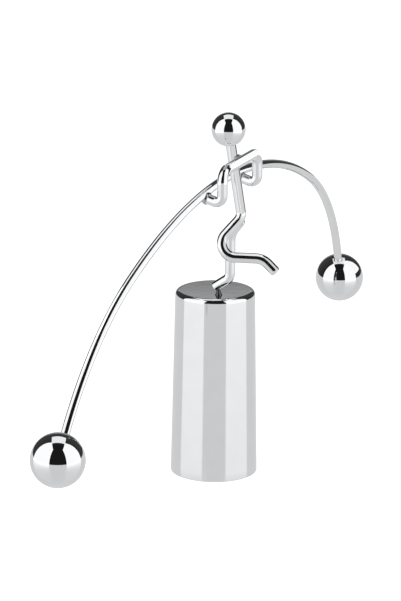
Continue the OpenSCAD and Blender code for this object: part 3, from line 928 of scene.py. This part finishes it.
# %% Table
TABLE_R, TABLE_T, TABLE_DROP = 1300.0, 8.0, 0.05        # in mm
TABLE_HEART, TABLE_RINGS, TABLE_SIDES = 20.0, 12, 128
TABLE_SHOWN, TABLE_MIRRORED = 0.92, 0.72
TABLE_ROUGH = 0.2


def acrylic():
    """White acrylic: a pale diffuse body under a gloss. The camera sees it brightened to the white of the
    page. Metal sees an even pale grey glow in place of the lit body, with the panels' gloss on it."""
    material, tree = new_material("white_acrylic")
    ray = add(tree, "ShaderNodeLightPath", {})
    polished = add(tree, "ShaderNodeMath", {
        0: ray.outputs["Is Glossy Ray"], 1: ray.outputs["Is Transmission Ray"]}, operation="MAXIMUM")
    body = add(tree, "ShaderNodeMix", {
        "Factor": polished.outputs["Value"], MIX_A: linear("#E8E8E8"), MIX_B: linear("#000000"),
    }, data_type="RGBA")
    shown = add(tree, "ShaderNodeMath", {
        0: ray.outputs["Is Camera Ray"], 1: TABLE_SHOWN}, operation="MULTIPLY")
    glow = add(tree, "ShaderNodeMath", {
        0: polished.outputs["Value"], 1: TABLE_MIRRORED, 2: shown.outputs["Value"]}, operation="MULTIPLY_ADD")
    shader = add(tree, "ShaderNodeBsdfPrincipled", {
        "Base Color": body.outputs[MIX_OUT], "Roughness": TABLE_ROUGH,
        "Emission Color": linear("#FFFFFF"), "Emission Strength": glow.outputs["Value"]})
    add(tree, "ShaderNodeOutputMaterial", {"Surface": shader.outputs["BSDF"]})
    return material


table_radii = np.linspace(TABLE_HEART, TABLE_R, TABLE_RINGS)
table_outline = np.stack([table_radii, np.full(TABLE_RINGS, -TABLE_DROP)], -1)
table_rows = turned(table_outline, ORIGIN, UPRIGHT, TABLE_SIDES)
under_rows = turned(table_outline[::-1] - [0, TABLE_T], ORIGIN, UPRIGHT, TABLE_SIDES)
table_tips = np.outer([-TABLE_DROP, -TABLE_DROP - TABLE_T], UPRIGHT)
table = skin("table", np.concatenate([table_rows, under_rows]), table_tips)
table.data.materials.append(acrylic())
table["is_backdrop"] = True

# %% [markdown]
# ## The dark room
# Past the table the room is a dark dome, with a grey backdrop low behind the toy that the flat top mirrors.
# The world's own colour could be dark instead, but then the page behind the toy would be dark too. So the
# camera doesn't see the dome: behind the toy it sees the white world, as on a cut-out page.

# %% Dome
DOME_R = 4.0
DOME_ROWS, DOME_SIDES, DOME_POLE_DEG = 60, 96, 89
ROOM_DARK, ROOM_TURN = (0.012, 0.045), (-0.2, 0.7)
BACKDROP_SIDE, BACKDROP_LOW = (0.9, 0.95), (0.42, 0.3)
BACKDROP_GREY, BACKDROP_HEIGHT = (0.175, 0.4), (0.275, 0.287)


def dark_room():
    """A glow that is nearly black in front and a little lighter behind, and rises to grey straight behind the
    toy: grey * how far behind * how low. The flat top mirrors only a thin slice of the backdrop, in which the
    grey grows lighter with height. All distances are shares of the dome's radius."""
    material, tree = new_material("dark_room")
    place = add(tree, "ShaderNodeTexCoord", {}).outputs["Object"]
    behind = add(tree, "ShaderNodeVectorMath", {0: place, 1: tuple(level / DOME_R)}, operation="DOT_PRODUCT")
    how_behind = add(tree, "ShaderNodeMapRange", {
        "Value": behind.outputs["Value"], "From Min": BACKDROP_SIDE[0], "From Max": BACKDROP_SIDE[1],
    }, interpolation_type="SMOOTHSTEP")
    dark = add(tree, "ShaderNodeMapRange", {
        "Value": behind.outputs["Value"], "From Min": ROOM_TURN[0], "From Max": ROOM_TURN[1],
        "To Min": ROOM_DARK[0], "To Max": ROOM_DARK[1]})
    height = add(tree, "ShaderNodeVectorMath", {
        0: place, 1: tuple(UPRIGHT / DOME_R)}, operation="DOT_PRODUCT")
    how_low = add(tree, "ShaderNodeMapRange", {
        "Value": height.outputs["Value"], "From Min": BACKDROP_LOW[0], "From Max": BACKDROP_LOW[1],
    }, interpolation_type="SMOOTHSTEP")
    grey = add(tree, "ShaderNodeMapRange", {
        "Value": height.outputs["Value"], "From Min": BACKDROP_HEIGHT[0], "From Max": BACKDROP_HEIGHT[1],
        "To Min": BACKDROP_GREY[0], "To Max": BACKDROP_GREY[1]})
    both = add(tree, "ShaderNodeMath", {
        0: how_behind.outputs["Result"], 1: how_low.outputs["Result"]}, operation="MULTIPLY")
    glow = add(tree, "ShaderNodeMath", {
        0: both.outputs["Value"], 1: grey.outputs["Result"], 2: dark.outputs["Result"],
    }, operation="MULTIPLY_ADD")
    shader = add(tree, "ShaderNodeEmission", {"Strength": glow.outputs["Value"]})
    add(tree, "ShaderNodeOutputMaterial", {"Surface": shader.outputs["Emission"]})
    return material


dome_outline = arc((0, 0), DOME_R / MM, -DOME_POLE_DEG, DOME_POLE_DEG, DOME_ROWS)
dome_tips = np.outer([-1, 1], UPRIGHT) * DOME_R / MM
dome = skin("room", turned(dome_outline, ORIGIN, UPRIGHT, DOME_SIDES), dome_tips)
dome.data.materials.append(dark_room())
dome.visible_camera = False
dome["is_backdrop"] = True


# %% White world
def white_world():
    """A white background for the camera and for anything polished that sees past the room."""
    world = bpy.data.worlds.new("white_page")
    bpy.context.scene.world = world
    world.use_nodes = True
    tree = world.node_tree
    tree.nodes.clear()
    ray = add(tree, "ShaderNodeLightPath", {})
    polished = add(tree, "ShaderNodeMath", {
        0: ray.outputs["Is Glossy Ray"], 1: ray.outputs["Is Transmission Ray"]}, operation="MAXIMUM")
    seen = add(tree, "ShaderNodeMath", {
        0: ray.outputs["Is Camera Ray"], 1: polished.outputs["Value"]}, operation="MAXIMUM")
    page = add(tree, "ShaderNodeBackground", {"Color": linear("#FFFFFF"), "Strength": seen.outputs["Value"]})
    add(tree, "ShaderNodeOutputWorld", {"Surface": page.outputs["Background"]})
    print("made", world.name)


white_world()
bpy.context.scene.view_settings.view_transform = "Standard"

# %% [markdown]
# ## Sizes and the end
# The surfaces stand for pieces of a known size, so they may not outgrow them. A picture could be compared by
# eye, but figures are surer, so the size of one box round all the shown pieces, the table and the room left
# out, is printed in millimetres.

# %% Sizes
low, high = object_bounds()
print("size in mm:", ((np.array(high) - np.array(low)) / MM).round(2))
